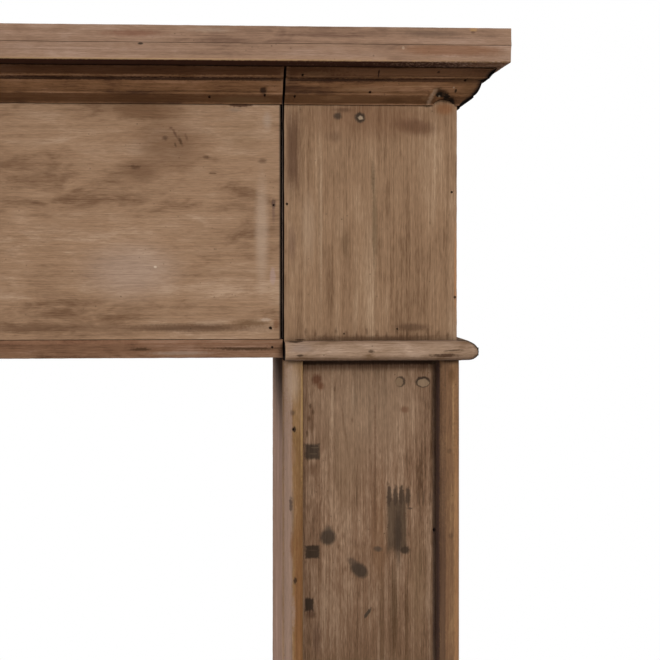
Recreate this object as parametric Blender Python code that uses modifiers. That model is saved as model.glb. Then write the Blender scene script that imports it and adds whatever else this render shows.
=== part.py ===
"""Fireplace mantelpiece of aged pine boards.

A shelf of two boards lies on a header and two boxed legs. A crown moulding runs under the
shelf, along the header and round each leg. Each leg has a plain frieze block, a bullnose
collar, and a sunk panel between two stiles above a plinth board. The back is open.

Metres. +Z is up, the front faces -Y, and +X is to the right for someone facing the front.
The origin is the middle of the footprint, on the hearth. The pieces of a leg are shaped in
the right-hand leg and mirrored for the left-hand one.
"""

import math

import bmesh
import bpy
from mathutils import Matrix, Vector

# The whole: the hole for the fire, and the boxes of boards round it
OPENING_WIDTH = 1.063
OPENING_HEIGHT = 0.9565
LEG_WIDTH = 0.2227
LEG_DEPTH = 0.203

# Boards
FRONT_BOARD = 0.022
SIDE_BOARD = 0.020
PANEL_BOARD = 0.015
SOFFIT_BOARD = 0.0241
ARRIS = 0.0015

# Shelf: two layers, standing out in front and at each end
SHELF_LAYER = 0.0212
SHELF_FRONT_OVERHANG = 0.061
SHELF_END_OVERHANG = 0.0473
SHELF_ARRIS = 0.002

# Header and frieze
FRIEZE_HEIGHT = 0.2978
HEADER_JOINT = 0.0035

# Crown moulding, and how far its worn side returns stand proud and hang low
CROWN_HEIGHT = 0.0406
CROWN_PROJECTION = 0.037
CROWN_JOINT = 0.0015
RETURN_DROP = 0.004
RETURN_PROUD = 0.001

# Bullnose collar
COLLAR_THICKNESS = 0.0255
COLLAR_PROJECTION = 0.0215
COLLAR_DROP = 0.0028

# Stiles, panel and plinth
INNER_STILE_WIDTH = 0.026
OUTER_STILE_WIDTH = 0.0265
OUTER_STILE_OVERHANG = 0.0038
STILE_CHEEK = 0.014
PANEL_LAP = 0.030
PLINTH_HEIGHT = 0.150

# The bite where a knot broke out of the right-hand crown
BITE_FROM_CORNER = 0.0145
BITE_HALF_WIDTH = 0.011
BITE_HEIGHT = 0.008

# Gap between pieces that touch, and the number of flats in a quarter of a round
CLEARANCE = 0.0003
QUARTER_STEPS = 6

# Heights and planes worked out from the sizes above
COLLAR_UNDERSIDE = OPENING_HEIGHT - COLLAR_DROP
COLLAR_TOP = COLLAR_UNDERSIDE + COLLAR_THICKNESS
CROWN_FOOT = COLLAR_TOP + FRIEZE_HEIGHT
SHELF_UNDERSIDE = CROWN_FOOT + CROWN_HEIGHT
BOARD_TOP = SHELF_UNDERSIDE - CLEARANCE
BACK = (LEG_DEPTH + SHELF_FRONT_OVERHANG) / 2
FACE = BACK - LEG_DEPTH
BEHIND_FACE = FACE + FRONT_BOARD + CLEARANCE
LEG_INNER = OPENING_WIDTH / 2
LEG_OUTER = LEG_INNER + LEG_WIDTH

# Colours of the aged wood, as sRGB hex
SHELF_COLOUR = "8f715a"
CROWN_COLOUR = "5c3f2a"
HEADER_COLOUR = "92735a"
SOFFIT_COLOUR = "795b46"
BLOCK_COLOUR = "8d6f55"
COLLAR_COLOUR = "987e68"
SIDE_COLOUR = "7f6250"
PANEL_COLOUR = "7b5e47"
INNER_STILE_COLOUR = "7b583c"
OUTER_STILE_COLOUR = "765944"
WOOD_ROUGHNESS = 0.75


def linear(hex_colour):
    """An sRGB hex colour as linear red, green, blue and alpha."""
    channels = [int(hex_colour[i : i + 2], 16) / 255 for i in (0, 2, 4)]
    return [((c + 0.055) / 1.055) ** 2.4 for c in channels] + [1.0]


def new_collection(name, hidden=False):
    """A collection of that name in the scene."""
    collection = bpy.data.collections.new(name)
    bpy.context.scene.collection.children.link(collection)
    collection.hide_render = hidden
    return collection


def put_in(collection, obj):
    """Moves an object into the collection and nowhere else."""
    for other in list(obj.users_collection):
        other.objects.unlink(obj)
    collection.objects.link(obj)


def name_and_paint(obj, name, hex_colour):
    """Names the piece, gives it its own wood and puts it with the mantelpiece."""
    obj.name = name
    obj.data.name = name
    wood = bpy.data.materials.new(name + "_pine")
    wood.use_nodes = True
    shader = wood.node_tree.nodes["Principled BSDF"]
    shader.inputs["Base Color"].default_value = linear(hex_colour)
    shader.inputs["Roughness"].default_value = WOOD_ROUGHNESS
    shader.inputs["Metallic"].default_value = 0.0
    wood.diffuse_color = linear(hex_colour)
    obj.data.materials.clear()
    obj.data.materials.append(wood)
    put_in(mantelpiece, obj)
    return obj


def board(name, x, y, z, hex_colour, arris=ARRIS):
    """A planed board that fills the box between two places on each axis."""
    spans = [sorted(span) for span in (x, y, z)]
    middle = [(low + high) / 2 for low, high in spans]
    bpy.ops.mesh.primitive_cube_add(size=1, location=middle)
    obj = bpy.context.active_object
    obj.scale = [high - low for low, high in spans]
    bpy.ops.object.transform_apply(location=False, rotation=False, scale=True)
    eased = obj.modifiers.new("eased arrises", "BEVEL")
    eased.width = arris
    eased.segments = 2
    return name_and_paint(obj, name, hex_colour)


def on_side(side, *places):
    """Places across the right-hand leg, carried to the leg on that side."""
    return [side * place for place in places]


def quarter(start, end, hollow=False):
    """Points after start, up to end, on a quarter ellipse between two corners of an outline.

    A full quarter leaves start along the outline's second axis and bulges. A hollow one leaves it
    along the first axis and cuts in.
    """
    points = []
    for step in range(1, QUARTER_STEPS + 1):
        turn = math.pi / 2 * step / QUARTER_STEPS
        out, down = 1 - math.cos(turn), math.sin(turn)
        if hollow:
            out, down = down, out
        points.append((start[0] + (end[0] - start[0]) * out, start[1] + (end[1] - start[1]) * down))
    return points


def crown_outline(height, projection):
    """The crown from its top, as (distance out from the face, height), from the top arris down.

    Under a slack cavetto come a fillet, a quirk, an ovolo, a second fillet and a long chamfer.
    The members are shares of the crown's own height and projection.
    """
    top = height - CLEARANCE

    def member(out, down):
        return (CLEARANCE + projection * out, top - height * down)

    cavetto = [member(1, 0), member(1, 0.03), member(0.875, 0.125), member(0.81, 0.22)]
    quirk = [member(0.81, 0.285), member(0.63, 0.32)]
    ovolo_top, ovolo_foot = member(0.63, 0.37), member(0.44, 0.65)
    ovolo = [ovolo_top] + quarter(ovolo_top, ovolo_foot)
    foot = (member(0.07, 0.97)[0], 0)
    chamfer = [member(0.43, 0.70), member(0.07, 0.97), foot]
    return cavetto + quirk + ovolo + chamfer + [(CLEARANCE, 0), (CLEARANCE, top)]


def collar_outline():
    """The bullnose collar, as (distance out from the face, height above its underside)."""
    nose = COLLAR_THICKNESS / 2
    straight = max(COLLAR_PROJECTION - nose, CLEARANCE * 2)
    tip = (COLLAR_PROJECTION, nose)
    lower = [(straight, 0)] + [(out, height) for out, height in quarter((straight, 0), tip, hollow=True)]
    upper = [(out, COLLAR_THICKNESS - height) for out, height in reversed(lower[:-1])]
    return [(CLEARANCE, 0)] + lower + upper + [(CLEARANCE, COLLAR_THICKNESS)]


def inner_stile_outline():
    """The rounded inner stile seen from above, as (x, y): flat cheeks, half-round front."""
    left, right = LEG_INNER, LEG_INNER + INNER_STILE_WIDTH
    back, shoulder, middle = FACE + FRONT_BOARD, FACE + FRONT_BOARD - STILE_CHEEK, (left + right) / 2
    rise = quarter((right, shoulder), (middle, FACE))
    fall = [(left + right - x, y) for x, y in reversed(rise[:-1])]
    return [(left, back), (right, back), (right, shoulder)] + rise + fall + [(left, shoulder)]


def prism(outline, length, placing):
    """A mesh object: the outline, extruded to that length about its own plane, then placed."""
    curve = bpy.data.curves.new("outline", "CURVE")
    curve.dimensions = "2D"
    curve.fill_mode = "BOTH"
    curve.extrude = length / 2
    spline = curve.splines.new("POLY")
    spline.points.add(len(outline) - 1)
    for point, (x, y) in zip(spline.points, outline):
        point.co = (x, y, 0, 1)
    spline.use_cyclic_u = True
    drawn = bpy.data.objects.new("outline", curve)
    drawn.matrix_world = placing
    bpy.context.scene.collection.objects.link(drawn)
    bpy.context.view_layer.update()
    mesh = bpy.data.meshes.new_from_object(drawn.evaluated_get(bpy.context.evaluated_depsgraph_get()))
    mesh.transform(drawn.matrix_world)
    bpy.data.objects.remove(drawn)
    obj = bpy.data.objects.new("prism", mesh)
    bpy.context.scene.collection.objects.link(obj)
    tidy = bmesh.new()
    tidy.from_mesh(mesh)
    bmesh.ops.remove_doubles(tidy, verts=tidy.verts, dist=CLEARANCE / 10)
    bmesh.ops.recalc_face_normals(tidy, faces=tidy.faces)
    tidy.to_mesh(mesh)
    tidy.free()
    return obj


def along_front(middle_x, foot):
    """Carries an outline of (out, height) to the face, so that its extrusion runs along X."""
    turn = Matrix(((0, 0, -1), (-1, 0, 0), (0, 1, 0))).to_4x4()
    return Matrix.Translation((middle_x, FACE, foot)) @ turn


def along_side(middle_y, foot):
    """Carries an outline of (out, height) to the leg's outer side, so that it runs along Y."""
    turn = Matrix(((1, 0, 0), (0, 0, -1), (0, 1, 0))).to_4x4()
    return Matrix.Translation((LEG_OUTER, middle_y, foot)) @ turn


def cut_mitre(obj, keeps_front):
    """Cuts a piece on the upright plane through the leg's front corner and caps the cut."""
    towards_return = Vector((1, 1, 0)).normalized()
    drop_side = towards_return if keeps_front else -towards_return
    corner = Vector((LEG_OUTER, FACE, 0)) - drop_side * CLEARANCE / 2
    cut = bmesh.new()
    cut.from_mesh(obj.data)
    everything = cut.verts[:] + cut.edges[:] + cut.faces[:]
    bmesh.ops.bisect_plane(cut, geom=everything, plane_co=corner, plane_no=drop_side, clear_outer=True)
    open_edges = [edge for edge in cut.edges if edge.is_boundary]
    bmesh.ops.triangle_fill(cut, edges=open_edges, use_beauty=True)
    bmesh.ops.recalc_face_normals(cut, faces=cut.faces)
    cut.to_mesh(obj.data)
    cut.free()
    return obj


def smooth_rounds(obj):
    """Shades the round members smooth and keeps the arrises crisp."""
    obj.data.shade_smooth()
    obj.data.set_sharp_from_angle(angle=math.radians(30))
    return obj


def to_side(obj, side):
    """Mirrors a piece of the right-hand leg when the left-hand one is being made."""
    if side < 0:
        obj.data.transform(Matrix.Diagonal((-1, 1, 1, 1)))
        obj.data.flip_normals()
    return obj


def front_and_return(name, side, outline, return_outline, foot, return_foot, hex_colour):
    """A moulding across the front of a leg and its mitred return along the outer side."""
    reach = max(out for out, _ in outline + return_outline) + LEG_WIDTH
    front = prism(outline, reach, along_front(LEG_INNER + reach / 2, foot))
    depth = BACK - FACE + reach
    back = prism(return_outline, depth, along_side(BACK - depth / 2, return_foot))
    for obj, part, keeps_front in ((front, "front", True), (back, "return", False)):
        smooth_rounds(to_side(cut_mitre(obj, keeps_front), side))
        name_and_paint(obj, f"{name}_{part}", hex_colour)
    return front


def leg_boards(name, side):
    """The two full-height side boards, and the panel between them that shows below the collar."""
    deep = (BEHIND_FACE, BACK)
    tall = (0, BOARD_TOP)
    inner_back = LEG_INNER + SIDE_BOARD
    outer_back = LEG_OUTER - SIDE_BOARD
    board(f"{name}_leg_inner_side", on_side(side, LEG_INNER, inner_back), deep, tall, SIDE_COLOUR)
    board(f"{name}_leg_outer_side", on_side(side, outer_back, LEG_OUTER), deep, tall, SIDE_COLOUR)
    between = on_side(side, inner_back + CLEARANCE, outer_back - CLEARANCE)
    panel_deep = (BEHIND_FACE, BEHIND_FACE + PANEL_BOARD)
    panel_tall = (0, COLLAR_UNDERSIDE + PANEL_LAP)
    board(f"{name}_leg_panel", between, panel_deep, panel_tall, PANEL_COLOUR)


def leg_fronts(name, side):
    """The frieze block, the two stiles and the plinth board, all flush with the face."""
    deep = (FACE, FACE + FRONT_BOARD)
    block_tall = (COLLAR_UNDERSIDE, BOARD_TOP)
    board(f"{name}_frieze_block", on_side(side, LEG_INNER, LEG_OUTER), deep, block_tall, BLOCK_COLOUR)
    stile_foot = PLINTH_HEIGHT + CLEARANCE
    stile_head = COLLAR_UNDERSIDE - CLEARANCE
    outer_edge = LEG_OUTER + OUTER_STILE_OVERHANG
    outer_stile = on_side(side, outer_edge - OUTER_STILE_WIDTH, outer_edge)
    board(f"{name}_outer_stile", outer_stile, deep, (stile_foot, stile_head), OUTER_STILE_COLOUR)
    upright = Matrix.Translation((0, 0, (stile_foot + stile_head) / 2))
    inner_stile = prism(inner_stile_outline(), stile_head - stile_foot, upright)
    smooth_rounds(to_side(inner_stile, side))
    name_and_paint(inner_stile, f"{name}_inner_stile", INNER_STILE_COLOUR)
    plinth = on_side(side, LEG_INNER, outer_edge)
    board(f"{name}_plinth_board", plinth, deep, (0, PLINTH_HEIGHT), PANEL_COLOUR)


def leg_mouldings(name, side):
    """The crown and the collar of one leg, each in a front piece and a return."""
    collar = collar_outline()
    front_and_return(
        f"{name}_collar", side, collar, collar, COLLAR_UNDERSIDE, COLLAR_UNDERSIDE, COLLAR_COLOUR
    )
    crown = crown_outline(CROWN_HEIGHT, CROWN_PROJECTION)
    low_crown = crown_outline(CROWN_HEIGHT + RETURN_DROP, CROWN_PROJECTION + RETURN_PROUD)
    return_foot = CROWN_FOOT - RETURN_DROP
    return front_and_return(f"{name}_crown", side, crown, low_crown, CROWN_FOOT, return_foot, CROWN_COLOUR)


def bite_knot(crown_front):
    """Takes a knot's bite out of the foot of the right-hand crown, near its corner."""
    bpy.ops.mesh.primitive_cylinder_add(
        vertices=24,
        radius=BITE_HALF_WIDTH,
        depth=CROWN_PROJECTION * 4,
        location=(LEG_OUTER - BITE_FROM_CORNER, FACE, CROWN_FOOT),
        rotation=(math.pi / 2, 0, 0),
    )
    cutter = bpy.context.active_object
    cutter.name = "knot_bite"
    bpy.ops.object.transform_apply(location=False, rotation=True, scale=False)
    cutter.scale = (1, 1, BITE_HEIGHT / BITE_HALF_WIDTH)
    bpy.ops.object.transform_apply(location=False, rotation=False, scale=True)
    cutter.hide_render = True
    cutter.display_type = "WIRE"
    put_in(cutters, cutter)
    bite = crown_front.modifiers.new("knot bite", "BOOLEAN")
    bite.operation = "DIFFERENCE"
    bite.solver = "EXACT"
    bite.object = cutter


def header():
    """The frieze board, the soffit board that it stands on, and the crown between the legs."""
    half = LEG_INNER - HEADER_JOINT
    soffit_half = LEG_INNER - CLEARANCE
    soffit_top = OPENING_HEIGHT + SOFFIT_BOARD
    deep = (FACE, FACE + FRONT_BOARD)
    tall = (soffit_top + CLEARANCE, BOARD_TOP)
    board("header_frieze_board", (-half, half), deep, tall, HEADER_COLOUR)
    soffit_tall = (OPENING_HEIGHT, soffit_top)
    board("header_soffit_board", (-soffit_half, soffit_half), (FACE, BACK), soffit_tall, SOFFIT_COLOUR)
    crown_length = OPENING_WIDTH - 2 * CROWN_JOINT
    crown = prism(crown_outline(CROWN_HEIGHT, CROWN_PROJECTION), crown_length, along_front(0, CROWN_FOOT))
    name_and_paint(smooth_rounds(crown), "header_crown", CROWN_COLOUR)


def shelf():
    """The two boards of the shelf, one on the other."""
    half = LEG_OUTER + SHELF_END_OVERHANG
    deep = (FACE - SHELF_FRONT_OVERHANG, BACK)
    seam = SHELF_UNDERSIDE + SHELF_LAYER
    lower = (SHELF_UNDERSIDE, seam - CLEARANCE)
    board("shelf_lower_board", (-half, half), deep, lower, SHELF_COLOUR, SHELF_ARRIS)
    board("shelf_top_board", (-half, half), deep, (seam, seam + SHELF_LAYER), SHELF_COLOUR, SHELF_ARRIS)


for leftover in list(bpy.data.objects):
    bpy.data.objects.remove(leftover)
mantelpiece = new_collection("fireplace_mantelpiece")
cutters = new_collection("cutters", hidden=True)

shelf()
header()
for leg_name, leg_side in (("left", -1), ("right", 1)):
    leg_boards(leg_name, leg_side)
    leg_fronts(leg_name, leg_side)
    crown_front_piece = leg_mouldings(leg_name, leg_side)
bite_knot(crown_front_piece)
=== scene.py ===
"""Looks of the fireplace mantelpiece: worn, stained boards of old pine in place of the plain solids.

Metres, in the solids' own frame. Every board and moulding is modelled anew in its solid's place, with
eased and knocked arrises, a slight sway, real nail holes and the broken knot of the right-hand crown.
Marks and holes are given as a joiner would measure them: in millimetres to the right of the piece's
left edge and down from its top.
"""

import math

import bmesh
import bpy
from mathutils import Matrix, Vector


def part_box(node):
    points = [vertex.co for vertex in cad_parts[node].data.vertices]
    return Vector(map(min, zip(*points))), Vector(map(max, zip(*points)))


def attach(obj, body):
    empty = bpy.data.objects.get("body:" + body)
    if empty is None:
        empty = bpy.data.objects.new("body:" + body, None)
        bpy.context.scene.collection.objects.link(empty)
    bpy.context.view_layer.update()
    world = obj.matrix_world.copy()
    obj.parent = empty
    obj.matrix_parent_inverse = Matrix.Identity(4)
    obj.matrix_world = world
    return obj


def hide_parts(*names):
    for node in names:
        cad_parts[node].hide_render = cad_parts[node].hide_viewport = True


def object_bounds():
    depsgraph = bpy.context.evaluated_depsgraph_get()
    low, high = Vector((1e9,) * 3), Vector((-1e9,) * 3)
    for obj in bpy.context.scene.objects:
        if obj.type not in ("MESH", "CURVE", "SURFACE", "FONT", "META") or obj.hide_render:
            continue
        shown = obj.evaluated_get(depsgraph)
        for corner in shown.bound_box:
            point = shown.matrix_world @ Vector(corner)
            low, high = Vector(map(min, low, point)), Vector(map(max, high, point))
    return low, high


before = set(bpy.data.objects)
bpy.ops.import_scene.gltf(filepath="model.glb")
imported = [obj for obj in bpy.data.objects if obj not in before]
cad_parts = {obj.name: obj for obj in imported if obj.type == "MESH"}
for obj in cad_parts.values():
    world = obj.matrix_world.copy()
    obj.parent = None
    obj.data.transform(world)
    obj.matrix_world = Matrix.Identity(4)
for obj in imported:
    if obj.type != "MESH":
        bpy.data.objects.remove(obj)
cad_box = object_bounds()

MM = 0.001

# Planes and edges read from the solids
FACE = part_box("right_frieze_block")[0].y
LEG_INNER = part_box("right_frieze_block")[0].x
LEG_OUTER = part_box("right_frieze_block")[1].x
SHELF_TOP = cad_box[1].z
CROWN_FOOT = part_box("right_crown_front")[0].z
CROWN_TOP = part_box("right_crown_front")[1].z
RETURN_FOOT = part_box("right_crown_return")[0].z
COLLAR_LOW, COLLAR_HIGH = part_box("right_collar_front")

# How finely the boards are cut up, and how worn they are
LOOP_SPACING = 6.5 * MM
MOST_CUTS = 100
EASE = 1.6
ARRIS_RUB = 1.1 * MM
RUB_REACH = 5 * MM
END_REACH = 9 * MM
END_HEM = 1.2 * MM
SWAY = 0.3 * MM
PLANE_MARKS = 0.2 * MM
HAIR = 0.3 * MM
SHARP_TURN = math.radians(32)


# Choosing and cutting


def choose(obj, kind, wanted):
    """Selects, in edit mode, just the points, edges or faces that are wanted."""
    bpy.ops.mesh.select_mode(type=kind)
    bpy.ops.mesh.select_all(action="DESELECT")
    mesh = bmesh.from_edit_mesh(obj.data)
    for part in {"VERT": mesh.verts, "EDGE": mesh.edges, "FACE": mesh.faces}[kind]:
        part.select = wanted(part)
    mesh.select_flush_mode()
    bmesh.update_edit_mesh(obj.data)


def add_loops(obj, axis, spacing=LOOP_SPACING):
    """Cuts loops across the runs along one axis until they lie about that far apart."""

    def long_run(edge):
        run = edge.verts[1].co - edge.verts[0].co
        return run.length > 1.5 * spacing and abs(run[axis]) > 0.999 * run.length

    while True:
        choose(obj, "EDGE", long_run)
        runs = [edge.calc_length() for edge in bmesh.from_edit_mesh(obj.data).edges if edge.select]
        if not runs:
            return
        bpy.ops.mesh.subdivide(number_cuts=min(MOST_CUTS, max(1, round(max(runs) / spacing) - 1)))


def cut_end(obj, point, away):
    """Cuts off, in edit mode, what lies past a plane, and closes the cut."""
    bpy.ops.mesh.select_all(action="SELECT")
    bpy.ops.mesh.bisect(plane_co=point, plane_no=away, use_fill=True, clear_outer=True)


def apply_modifiers(obj):
    """Applies what is on the piece, in order."""
    bpy.context.view_layer.objects.active = obj
    for modifier in list(obj.modifiers):
        bpy.ops.object.modifier_apply(modifier=modifier.name)


# Wear


def near(distance, reach):
    """1 at no distance, falling to 0 at reach."""
    return max(0.0, min(1.0, 1.0 - distance / reach))


def clouds(name, size):
    """Soft lumps of that size, to push a surface about."""
    texture = bpy.data.textures.new(name, "CLOUDS")
    texture.noise_scale = size
    texture.noise_depth = 3
    return texture


LONG_SWAY = clouds("long sway", 0.22)
HAND_PLANE = clouds("hand plane", 0.035)
KNOCKS = clouds("knocks", 0.011)


def weigh(obj, name, shares):
    """Keeps each point's share in a vertex group of that name."""
    group = obj.vertex_groups.new(name=name)
    for index, share in enumerate(shares):
        if share > 0:
            group.add([index], share, "REPLACE")


def keep(obj, name, shares):
    """Keeps each point's share in an attribute that the wood reads."""
    obj.data.attributes.new(name, "FLOAT", "POINT").data.foreach_set("value", shares)


def sink(obj, texture, depth, group=""):
    """Pushes the surface inwards by up to that depth, by the texture."""
    push = obj.modifiers.new(texture.name, "DISPLACE")
    push.texture = texture
    push.texture_coords = "GLOBAL"
    push.strength = depth
    push.mid_level = 1.0
    push.vertex_group = group


def press(obj, share_of, depth):
    """Presses points back from the front by their share of the depth."""
    weigh(obj, "press", [share_of(vertex.co) for vertex in obj.data.vertices])
    push = obj.modifiers.new("press", "DISPLACE")
    push.direction = "Y"
    push.mid_level = 0.0
    push.strength = depth
    push.vertex_group = "press"
    apply_modifiers(obj)
    obj.vertex_groups.clear()


def wear(obj, nearness, rub=ARRIS_RUB, dark_ends_and_joint_shade=lambda co: 0.0, held=lambda co: 0.0):
    """Wears a piece.

    nearness says, from 0 to 1, how close a point is to an arris or an end, the fourth argument how black
    the point is painted, as dark end grain and as shade in joints, and held how firmly it is held in a tight
    seam, which neither sways nor shows the plane.
    """
    points = [vertex.co.copy() for vertex in obj.data.vertices]
    shares = [nearness(point) for point in points]
    weigh(obj, "arris", shares)
    weigh(obj, "free", [1 - held(point) for point in points])
    keep(obj, "rubbed", [share * share for share in shares])
    keep(obj, "dark_ends_and_joint_shade", [dark_ends_and_joint_shade(point) for point in points])
    sink(obj, LONG_SWAY, SWAY, "free")
    sink(obj, HAND_PLANE, PLANE_MARKS, "free")
    sink(obj, KNOCKS, rub, "arris")
    apply_modifiers(obj)
    bpy.ops.object.shade_smooth_by_angle(angle=math.radians(38))
    return obj


def take_away(obj, cutters):
    """Cuts the cutters' shapes out of a piece."""
    for cutter in cutters:
        cutter.select_set(True)
    bpy.context.view_layer.objects.active = cutters[0]
    bpy.ops.object.join()
    cutter = bpy.context.active_object
    cut = obj.modifiers.new("cut", "BOOLEAN")
    cut.object = cutter
    cut.solver = "EXACT"
    apply_modifiers(obj)
    bpy.data.objects.remove(cutter)


def drill(obj, holes):
    """Sinks nail holes into the front: each is (right, down, width, depth) in millimetres."""
    bpy.context.view_layer.update()
    corners = [Vector(corner) for corner in obj.bound_box]
    left, front = min(c.x for c in corners), min(c.y for c in corners)
    top = max(c.z for c in corners)
    nails = []
    for right, down, width, depth in holes:
        eye = Vector((left + right * MM, front - 50 * MM, top - down * MM))
        found, place, _, _ = obj.ray_cast(eye, Vector((0, 1, 0)))
        if found:
            bpy.ops.object.select_all(action="DESELECT")
            bpy.ops.mesh.primitive_cone_add(
                vertices=9,
                radius1=0.35 * width * MM,
                radius2=0.75 * width * MM,
                depth=2 * depth * MM,
                location=place,
                rotation=(math.pi / 2, 0, 0),
            )
            nails.append(bpy.context.active_object)
    if nails:
        take_away(obj, nails)


# Boards


def same_all_round(side):
    """The width, in millimetres, to which a board's edge is eased: here the same for each."""
    return EASE


def worn_board(node, ease=same_all_round, rub=ARRIS_RUB, holes=(), black=(), tongue=0.0):
    """A board in a solid's place, eased, looped, drilled and worn.

    ease gives the width of the bevel on the edge that lies at a side, a vector of -1, 0 and 1.
    black holds the sides whose face is painted black, as shade inside the joint. tongue is how far the back
    of the board runs on past its ends, to close the joint from behind.
    """
    low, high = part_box(node)
    reach = Vector((tongue, 0, 0))
    low, high = low - reach, high + reach
    middle, half = (low + high) / 2, (high - low) / 2
    bpy.ops.object.select_all(action="DESELECT")
    bpy.ops.mesh.primitive_cube_add(size=1, location=middle)
    obj = bpy.context.active_object
    obj.name = node + "_worn"
    obj.dimensions = high - low
    bpy.ops.object.transform_apply(location=True, rotation=True, scale=True)
    mesh = obj.data
    widths = []
    for edge in mesh.edges:
        place = (mesh.vertices[edge.vertices[0]].co + mesh.vertices[edge.vertices[1]].co) / 2 - middle
        widths.append(ease(Vector([round(place[axis] / half[axis]) for axis in range(3)])))
    weights = mesh.attributes.new("bevel_weight_edge", "FLOAT", "EDGE")
    weights.data.foreach_set("value", [width / max(widths) for width in widths])
    eased = obj.modifiers.new("eased", "BEVEL")
    eased.limit_method = "WEIGHT"
    eased.width = max(widths) * MM
    eased.segments = 3
    apply_modifiers(obj)
    bpy.ops.object.mode_set(mode="EDIT")
    for axis in range(3):
        add_loops(obj, axis)
    bpy.ops.object.mode_set(mode="OBJECT")
    if tongue:
        rebate(obj, low, high, tongue)
    drill(obj, [(right + tongue / MM, *rest) for right, *rest in holes])

    def nearest_arris(co):
        off = co - middle
        depths = [max(0.0, half[axis] - abs(off[axis]) - (0 if axis else tongue)) for axis in range(3)]
        flat = depths.index(max(depths))
        side = Vector([0 if axis == flat else math.copysign(1, off[axis]) for axis in range(3)])
        first, second = sorted(depths)[:2]
        return math.hypot(first, second), min(1.0, ease(side) / EASE)

    def nearness(co):
        distance, roundness = nearest_arris(co)
        return near(distance, RUB_REACH) * roundness

    def held(co):
        distance, roundness = nearest_arris(co)
        return near(distance, 2 * RUB_REACH) if roundness < 0.5 else 0.0

    # Painted shade: the faces inside the joints are painted black
    def in_joint(co):
        off = co - middle
        faces = [middle + Vector([half[axis] * side[axis] for axis in range(3)]) for side in black]
        depths = [(face - co).dot(side) - abs(side.x) * tongue for face, side in zip(faces, black)]
        return max([near(depth, 1.2 * MM) for depth in depths], default=0.0)

    return wear(obj, nearness, rub, in_joint, held)


def rebate(obj, low, high, tongue):
    """Cuts the front of both ends back to the joint, and leaves a tongue along the back."""
    deep = 0.65 * (high.y - low.y)
    cutters = []
    for end in (low.x + tongue / 2, high.x - tongue / 2):
        outward = tongue / 2 if end > 0 else -tongue / 2
        bpy.ops.object.select_all(action="DESELECT")
        bpy.ops.mesh.primitive_cube_add(size=1, location=(end + outward, low.y, (low.z + high.z) / 2))
        cutter = bpy.context.active_object
        cutter.dimensions = (2 * tongue, 2 * deep, 1.2 * (high.z - low.z))
        bpy.ops.object.transform_apply(location=True, rotation=True, scale=True)
        cutters.append(cutter)
    take_away(obj, cutters)


# Mouldings


def swept(name, path, run):
    """A closed moulding: an edge of the run's length, extruded round the path's points and capped.

    path holds the middles of the run at each corner of the outline, in order. run is the run's vector.
    """
    bpy.ops.object.select_all(action="DESELECT")
    aside = Vector((0, 1, 0)) if run.x else Vector((1, 0, 0))
    turn = (math.pi / 2, 0, 0) if run.z else (0, 0, 0)
    middle = path[0] + aside * run.length / 2
    bpy.ops.mesh.primitive_plane_add(size=run.length, location=middle, rotation=turn)
    obj = bpy.context.active_object
    obj.name = name
    bpy.ops.object.transform_apply(location=True, rotation=True, scale=True)
    bpy.ops.object.mode_set(mode="EDIT")
    choose(obj, "VERT", lambda vert: (vert.co - path[0]).dot(aside) > run.length / 2)
    bpy.ops.mesh.delete(type="VERT")
    bpy.ops.mesh.select_all(action="SELECT")
    for here, there in zip(path, path[1:] + path[:1]):
        bpy.ops.mesh.extrude_region_move(TRANSFORM_OT_translate={"value": there - here})
    bpy.ops.mesh.select_all(action="SELECT")
    bpy.ops.mesh.remove_doubles(threshold=HAIR / 30)
    choose(obj, "EDGE", lambda edge: edge.is_boundary)
    bpy.ops.mesh.fill_holes(sides=0)
    bpy.ops.mesh.select_all(action="SELECT")
    bpy.ops.mesh.normals_make_consistent(inside=False)
    along = run.normalized()

    def sharp(edge):
        way = (edge.verts[1].co - edge.verts[0].co).normalized()
        return abs(way.dot(along)) > 0.99 and edge.calc_face_angle(0) > SHARP_TURN

    choose(obj, "EDGE", sharp)
    bpy.ops.mesh.bevel(offset=0.6 * MM, offset_type="OFFSET", segments=2, affect="EDGES")
    return obj


def quarter(start, end, steps, hollow=False, fullness=1.0):
    """Points after start, up to end, on a quarter ellipse that bulges, or cuts in if hollow.

    fullness flattens the curve: at 0 it is straight.
    """
    points = []
    for step in range(1, steps + 1):
        turn = math.pi / 2 * step / steps
        out, down = 1 - math.cos(turn), math.sin(turn)
        if hollow:
            out, down = down, out
        flat = (out + down) / 2
        out, down = flat + (out - flat) * fullness, flat + (down - flat) * fullness
        points.append((start[0] + (end[0] - start[0]) * out, start[1] + (end[1] - start[1]) * down))
    return points


def crown_outline(height, projection):
    """Slack cavetto, quirk, ovolo, fillet and long chamfer, as (out from the face, above the foot)."""

    def member(out, down):
        return (HAIR + projection * out, height - height * down)

    cavetto = [member(1, 0), member(1, 0.03), member(0.93, 0.08), member(0.875, 0.125), member(0.83, 0.17)]
    quirk = [member(0.81, 0.22), member(0.81, 0.285), member(0.63, 0.32), member(0.63, 0.37)]
    ovolo = quarter(member(0.63, 0.37), member(0.42, 0.70), 9, fullness=0.45)
    chamfer = [member(0.42, 0.745), member(0.07, 0.965), (member(0.07, 0.965)[0], 0)]
    return cavetto + quirk + ovolo + chamfer + [(HAIR, 0), (HAIR, height)]


def collar_outline(thickness, projection):
    """A half-round nose on a flat strip, as (out from the face, above the foot)."""
    nose = thickness / 2
    shoulder = (projection - nose, 0)
    lower = [shoulder] + quarter(shoulder, (projection, nose), 8, hollow=True)
    upper = [(out, thickness - height) for out, height in reversed(lower[:-1])]
    return [(HAIR, 0)] + lower + upper + [(HAIR, thickness)]


def stile_outline(left, right, front, back, cheek):
    """The inner stile from above, as (x, y): two cheeks and a half-round front."""
    shoulder, middle = back - cheek, (left + right) / 2
    rise = quarter((right, shoulder), (middle, front), 9)
    fall = [(left + right - x, y) for x, y in reversed(rise[:-1])]
    return [(left, back), (right, back), (right, shoulder)] + rise + fall + [(left, shoulder)]


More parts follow.
